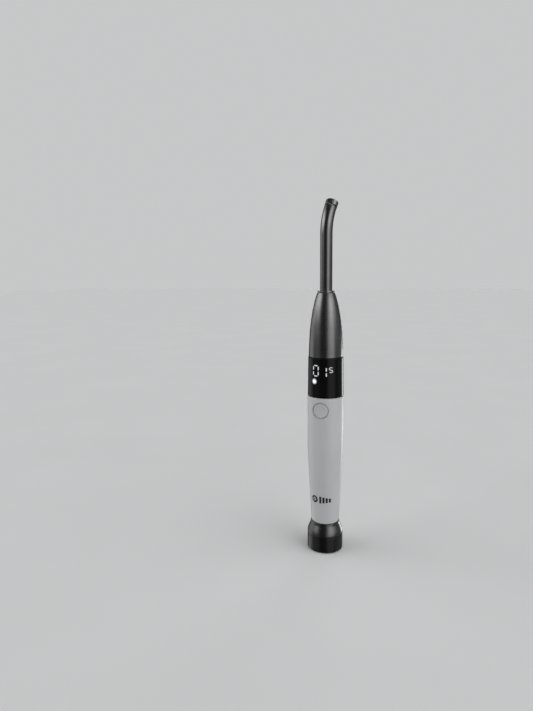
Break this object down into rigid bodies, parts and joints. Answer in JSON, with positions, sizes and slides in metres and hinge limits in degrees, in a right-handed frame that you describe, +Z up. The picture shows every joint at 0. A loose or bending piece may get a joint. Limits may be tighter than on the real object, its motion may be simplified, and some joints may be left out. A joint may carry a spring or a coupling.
{
  "type": "dental curing light",
  "caption": "Pen-style cordless dental curing light with a bent swivelling light guide, a timer display band and a power button, standing in a charging dock.",
  "frame": {"origin": "centre of the dock's rubber foot, on the table", "axes": "+Z up along the handpiece, -Y the side of the button and the timer display, +Y the side of the charging port"},
  "size_m": [0.0256, 0.0256, 0.2502],
  "materials": {
    "gunmetal": "satin dark grey anodised",
    "dock_metal": "satin black",
    "black_chrome": "polished black",
    "gloss_black": "gloss",
    "white_plastic": "satin",
    "dark_plastic": "matte",
    "rubber": "matte",
    "steel": "satin",
    "gold_contact": "polished",
    "aluminium": "satin",
    "circuit_board": "satin",
    "glass": "polished",
    "cell_wrap": "satin",
    "emitter": "satin"
  },
  "bodies": {
    "dock": {"dock_shell": "dock_metal", "dock_collar": "gunmetal", "dock_cup": "dark_plastic", "dock_board": "circuit_board", "charge_port": "steel", "dock_weight": "steel", "bottom_plate": "dark_plastic", "rubber_foot": "rubber", "dock_screw_1": "steel", "dock_screw_2": "steel", "dock_screw_3": "steel", "pin_barrel_centre": "gold_contact", "pin_barrel_side": "gold_contact"},
    "handpiece": {"handle_shell": "white_plastic", "chassis": "dark_plastic", "battery_cell": "cell_wrap", "battery_spring": "steel", "battery_plate": "steel", "battery_contact": "steel", "main_board": "circuit_board", "control_chip": "dark_plastic", "buzzer": "dark_plastic", "switch_body": "dark_plastic", "tail_plug": "dark_plastic", "tail_o_ring": "rubber", "contact_ring": "gold_contact", "contact_pin": "gold_contact", "display_window": "gloss_black", "display_frame": "dark_plastic", "display_board": "circuit_board", "display_module": "gloss_black", "mode_lamp": "glass", "nose_shell": "gunmetal", "heat_sink": "aluminium", "led_board": "aluminium", "led_emitter": "emitter", "lens_holder": "dark_plastic", "collimator_lens": "glass", "guide_socket": "steel"},
    "power_button": {"power_button": "white_plastic", "switch_plunger": "white_plastic"},
    "guide_seal": {"guide_o_ring": "rubber"},
    "light_guide": {"guide_tube": "gunmetal", "guide_core": "glass", "tip_collar": "black_chrome", "guide_ferrule": "black_chrome"},
    "centre_pin": {"charge_pin_centre": "gold_contact"},
    "side_pin": {"charge_pin_side": "gold_contact"}
  },
  "joints": [
    {"name": "handpiece_lift", "type": "slide", "parent": "dock", "child": "handpiece", "axis": [0, 0, 1], "range_m": [0, 0.03]},
    {"name": "guide_pull", "type": "slide", "parent": "handpiece", "child": "guide_seal", "axis": [0, 0, 1], "range_m": [0, 0.022]},
    {"name": "guide_swivel", "type": "hinge", "parent": "guide_seal", "child": "light_guide", "pos_m": [0, 0, 0.17265], "axis": [0, 0, 1], "continuous": true},
    {"name": "power_button_press", "type": "slide", "parent": "handpiece", "child": "power_button", "axis": [0, 1, 0], "range_m": [0, 0.0006], "stiffness_N_per_m": 2500, "springref_m": -0.0003},
    {"name": "centre_pin_press", "type": "slide", "parent": "dock", "child": "centre_pin", "axis": [0, 0, -1], "range_m": [0, 0.0008], "stiffness_N_per_m": 500, "springref_m": -0.0004},
    {"name": "side_pin_press", "type": "slide", "parent": "dock", "child": "side_pin", "axis": [0, 0, -1], "range_m": [0, 0.0008], "stiffness_N_per_m": 500, "springref_m": -0.0004}
  ]
}
